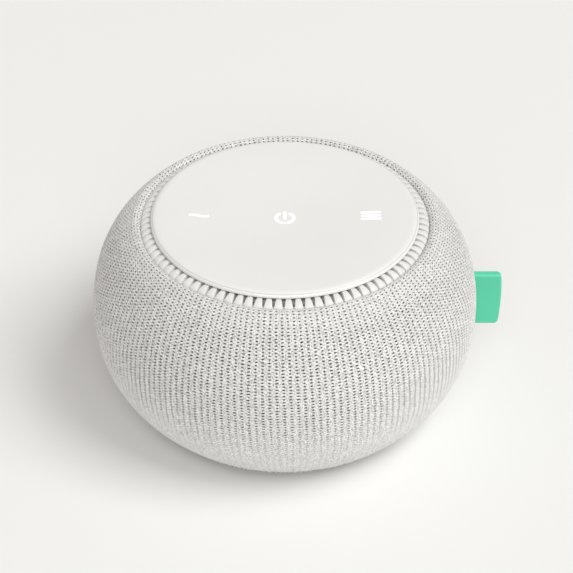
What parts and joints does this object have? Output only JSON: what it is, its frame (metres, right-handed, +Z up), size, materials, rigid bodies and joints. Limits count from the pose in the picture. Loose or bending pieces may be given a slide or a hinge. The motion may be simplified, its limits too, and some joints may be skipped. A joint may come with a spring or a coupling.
{
  "type": "sound machine",
  "caption": "Round tabletop noise machine: knit-covered shell that twists on a fixed base, slotted ring, flat touch top with lit icons, soft side tab, fan inside.",
  "frame": {"origin": "centre of the foot ring's underside, on the axis the shell and the fan turn about", "axes": "+Z up; +X towards the side tab; -Y towards the user, who reads the icons from there; power inlet at +Y"},
  "size_m": [0.1515, 0.142, 0.0806],
  "materials": {
    "knit": "stretched knit, light grey",
    "shell_plastic": "fine matt",
    "vent_plastic": "fine matt",
    "panel_gloss": "satin gloss",
    "icon_white": "lit from behind",
    "tab_green": "soft matt",
    "base_plastic": "fine matt",
    "foot_rubber": "soft matt",
    "drum_plastic": "fine matt",
    "glide_plastic": "slick",
    "steel": "plain",
    "screw_steel": "zinc plated",
    "bronze": "sintered",
    "copper": "enamelled wire",
    "magnet": "dull",
    "fan_plastic": "moulded",
    "soft_mount": "soft matt",
    "board_green": "solder mask",
    "chip_black": "moulded",
    "jack_black": "moulded",
    "wire_red": "insulation",
    "film_amber": "film",
    "clear_plastic": "frosted",
    "led_white": "lens"
  },
  "bodies": {
    "base": {"base_housing": "base_plastic", "foot_ring": "foot_rubber", "glide_ring": "glide_plastic", "stop_pin": "steel", "base_screws": "screw_steel", "drum": "drum_plastic", "drum_lid": "drum_plastic", "lid_screws": "screw_steel", "motor_deck": "drum_plastic", "deck_screws": "screw_steel", "isolators": "soft_mount", "isolator_screws": "screw_steel", "motor_plate": "steel", "bearing_tube": "bronze", "sleeve_bearing": "bronze", "thrust_pad": "glide_plastic", "motor_board": "board_green", "stator_core": "steel", "stator_coils": "copper", "main_board": "board_green", "board_parts": "chip_black", "board_screws": "screw_steel", "power_jack": "jack_black", "jack_contact": "bronze", "jack_nut": "steel", "jack_leads": "wire_red", "motor_lead": "wire_red", "touch_ribbon": "film_amber", "panel_carrier": "base_plastic", "carrier_screws": "screw_steel", "touch_board": "board_green", "status_leds": "led_white", "light_box": "shell_plastic", "light_guides": "clear_plastic", "touch_panel": "panel_gloss", "icon_low": "icon_white", "icon_power": "icon_white", "icon_high": "icon_white"},
    "shell": {"fabric_sleeve": "knit", "upper_shell": "shell_plastic", "lower_shell": "shell_plastic", "vent_ring": "vent_plastic", "vent_screws": "screw_steel", "side_tab": "tab_green", "tone_ring": "drum_plastic", "tone_screws": "screw_steel"},
    "fan": {"rotor_cup": "steel", "rotor_magnet": "magnet", "motor_shaft": "steel", "shaft_clip": "glide_plastic", "impeller": "fan_plastic"}
  },
  "joints": [
    {"name": "tone_twist", "type": "hinge", "parent": "base", "child": "shell", "pos_m": [0, 0, 0.01], "axis": [0, 0, 1], "range_deg": [0, 20]},
    {"name": "fan_spin", "type": "hinge", "parent": "base", "child": "fan", "pos_m": [0, 0, 0.04], "axis": [0, 0, 1], "continuous": true}
  ]
}
